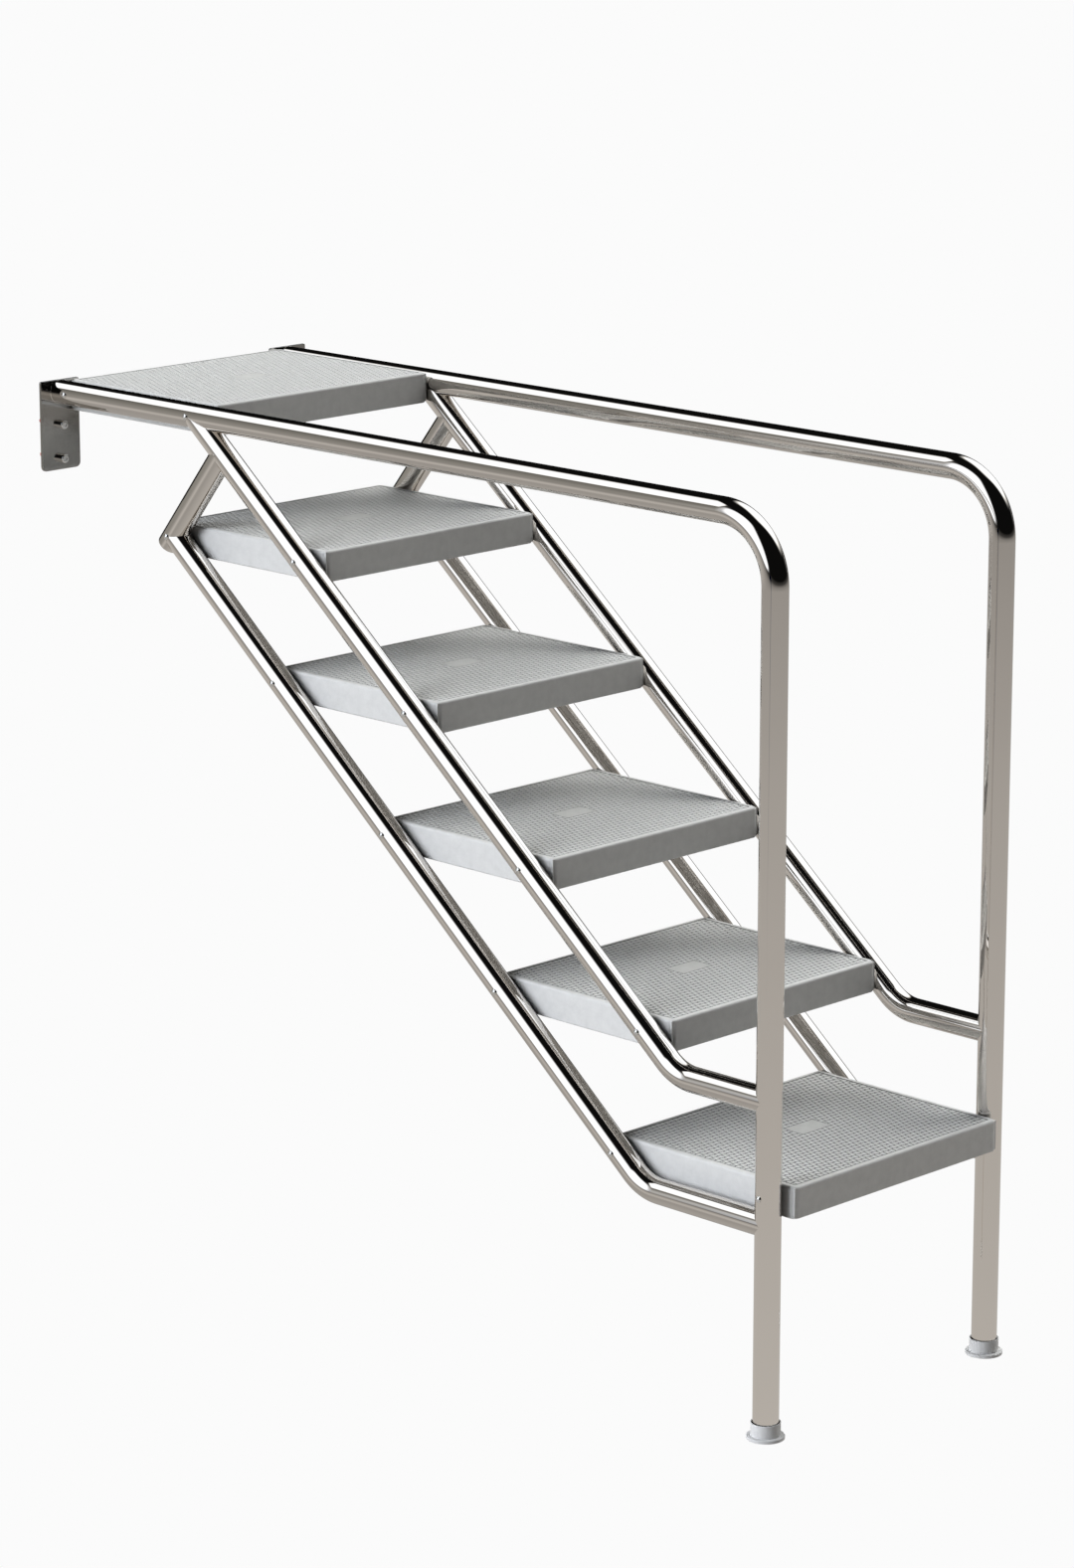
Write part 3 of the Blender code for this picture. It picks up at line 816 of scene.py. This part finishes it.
def make_foot(label):
    """The moulded foot: a round flange and a cup with a thin lip round the leg."""
    low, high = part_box(f"{label}_foot")
    middle = centre(f"{label}_foot")
    flange_radius = (high.x - low.x) / 2
    height = high.z - low.z
    bore = tube_radius + FOOT_BORE_GAP
    profile = [(0, FOOT_FLOOR), (bore, FOOT_FLOOR), (bore, height - CUP_CHAMFER)]
    profile += [(CUP_RADIUS - 3 * CUP_LIP, height - CUP_LIP)]
    profile += arc(CUP_RADIUS - CUP_LIP, height - CUP_LIP, CUP_LIP, 120, 0, 6)
    profile += arc(CUP_RADIUS + CUP_FILLET, FLANGE_HEIGHT + CUP_FILLET, CUP_FILLET, 180, 270, 8)
    profile += arc(flange_radius - FLANGE_ROUND, FLANGE_HEIGHT - FLANGE_ROUND, FLANGE_ROUND, 90, 0, 8)
    profile += arc(flange_radius - CUP_LIP, CUP_LIP, CUP_LIP, 0, -90, 4)
    profile += [(0, 0)]
    shape = bmesh.new()
    lathe(shape, profile, Matrix.Translation((middle.x, middle.y, low.z)))
    place(finish_mesh(f"{label}_leg_foot", shape, pale_plastic), "foot_plastic", f"{label}_foot")


# ---------------------------------------------------------------- stage


def make_camera():
    """The camera at the photograph's viewing angle."""
    lens = bpy.data.cameras.new("camera")
    camera = bpy.data.objects.new("camera", lens)
    bpy.context.scene.collection.objects.link(camera)
    camera.location = Vector((leg_x, 0, 0)) + CAMERA_FROM_LEGS
    camera.rotation_euler = (pi / 2 - CAMERA_PITCH, CAMERA_ROLL, CAMERA_HEADING)
    lens.sensor_width = SENSOR_LONG_SIDE
    lens.lens = FOCAL_LENGTH_PER_HEIGHT * lens.sensor_width
    lens.clip_end = CAMERA_REACH
    bpy.context.scene.camera = camera


def make_floor():
    """A plain pale floor. Only the camera sees it: the steel in the photograph mirrors a darker one."""
    shape = bmesh.new()
    bmesh.ops.create_grid(shape, x_segments=1, y_segments=1, size=FLOOR_HALF)
    made = bpy.data.materials.new("floor")
    made.use_nodes = True
    tree = made.node_tree
    tree.nodes.remove(tree.nodes["Principled BSDF"])
    glow = add_node(tree, "ShaderNodeEmission", {"Color": (*BACKDROP, 1)})
    tree.links.new(glow.outputs[0], tree.nodes["Material Output"].inputs["Surface"])
    floor = finish_mesh("floor", shape, made)
    for kind in ("diffuse", "glossy", "transmission", "shadow"):
        setattr(floor, f"visible_{kind}", False)


def softbox(tree, direction, place_at, edges, light):
    """The light of a four-sided softbox a long way off, seen in a direction, as a colour socket."""
    azimuth, elevation = (radians(angle) for angle in place_at)
    toward = Vector((cos(elevation) * cos(azimuth), cos(elevation) * sin(azimuth), sin(elevation)))
    level = Vector((-sin(azimuth), cos(azimuth), 0))
    upright = toward.cross(level)
    ahead = vector_math(tree, "DOT_PRODUCT", direction, toward)
    in_front = scalar_math(tree, "MAXIMUM", ahead, LEAST_AHEAD)
    cover = scalar_math(tree, "GREATER_THAN", ahead, LEAST_AHEAD)
    for outward, sideways, (reach, lean, soft) in zip(
        (level, -level, upright, -upright), (upright, upright, level, level), edges
    ):
        across = vector_math(tree, "DOT_PRODUCT", direction, outward - sideways * lean)
        ratio = scalar_math(tree, "DIVIDE", across, in_front)
        edge = map_range(tree, ratio, (reach - soft, reach), (1, 0), interpolation_type="SMOOTHSTEP")
        cover = scalar_math(tree, "MULTIPLY", cover, edge)
    return scaled(tree, light, cover)


def ground_light(tree, direction):
    """The warm grey ground, fading out towards the horizon, over the dark of the room, as a colour socket."""
    height = add_node(tree, "ShaderNodeSeparateXYZ", {0: direction}).outputs["Z"]
    along = map_range(tree, height, (-1, 0), (0, 1))
    fade = add_node(tree, "ShaderNodeValToRGB", {"Fac": along})
    stops = fade.color_ramp.elements
    while len(stops) < len(GROUND_STEPS):
        stops.new(0.5)
    for stop, (position, share) in zip(stops, GROUND_STEPS):
        stop.position = position
        stop.color = (share, share, share, 1)
    tinted = vector_math(tree, "MULTIPLY", fade.outputs["Color"], GROUND_LIGHT)
    return vector_math(tree, "MAXIMUM", tinted, DARK_ROOM)


def make_world():
    """A dark studio with softboxes over a warm grey ground. The camera itself sees a plain backdrop."""
    world = bpy.data.worlds.new("studio")
    world.use_nodes = True
    tree = world.node_tree
    direction = add_node(tree, "ShaderNodeTexCoord").outputs["Generated"]
    light = ground_light(tree, direction)
    for settings in SOFTBOXES:
        light = vector_math(tree, "ADD", light, softbox(tree, direction, *settings))
    rays = add_node(tree, "ShaderNodeLightPath")
    limited = vector_math(tree, "MINIMUM", light, GLARE_LIMIT)
    lit = blend_colours(tree, rays.outputs["Is Glossy Ray"], light, limited)
    shown = blend_colours(tree, rays.outputs["Is Camera Ray"], lit, BACKDROP)
    tree.links.new(shown, tree.nodes["Background"].inputs["Color"])
    bpy.context.scene.world = world
    bpy.context.scene.view_settings.view_transform = "Standard"
    # Light that the steel throws on other pieces comes out as grain, so it's left out.
    bpy.context.scene.cycles.caustics_reflective = False


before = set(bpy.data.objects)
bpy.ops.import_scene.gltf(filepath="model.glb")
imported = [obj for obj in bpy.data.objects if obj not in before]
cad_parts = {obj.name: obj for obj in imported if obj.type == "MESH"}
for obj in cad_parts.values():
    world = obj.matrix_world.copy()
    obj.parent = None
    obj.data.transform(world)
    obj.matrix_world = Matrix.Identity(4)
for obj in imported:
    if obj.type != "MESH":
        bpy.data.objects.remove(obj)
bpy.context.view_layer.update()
tube_radius = size("left_rail").y / 2
rail_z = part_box("left_rail")[1].z - tube_radius
leg_x = centre("left_foot").x
plate_front_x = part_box("left_wall_plate")[1].x

steel = polished_steel("polished_tube", (0.80, 0.757, 0.71), 0.018)
plate_metal = brushed_steel("brushed_plate", (0.5, 0.485, 0.46), 0.1)
bright_metal = brushed_steel("bright_fastener", (0.93, 0.92, 0.9), 0.13)
tread_plastic = moulded_plastic("tread_plastic", (0.74, 0.74, 0.73), 0.5, 0.05)
# The groove material is the tread plastic painted much darker: painted shade in the grooves between the
# tiles.
groove_painted_shade = moulded_plastic("tread_groove_painted_shade", (0.17, 0.17, 0.165), 0.6, 0.08)
pad_plastic = moulded_plastic("tread_pad_plastic", (0.655, 0.655, 0.64), 0.5, 0.07)
pale_plastic = moulded_plastic("foot_plastic", (0.74, 0.74, 0.74), 0.4, 0.02)
red_plastic = moulded_plastic("plug_plastic", (0.5, 0.1, 0.07), 0.5, 0.05)

for side_label, side_sign in SIDES.items():
    make_side_tubes(side_label)
    make_wall_plate(side_label)
    make_foot(side_label)
    for bolt_height in ("upper", "lower"):
        make_wall_bolt(side_label, bolt_height)
        make_wall_plug(side_label, bolt_height)
    for tread_name in TREAD_NAMES:
        for tread_end in ("rear", "front"):
            make_tread_screw(f"{tread_name}_{side_label}_{tread_end}_screw", side_sign)
make_treads()
make_camera()
make_floor()
make_world()
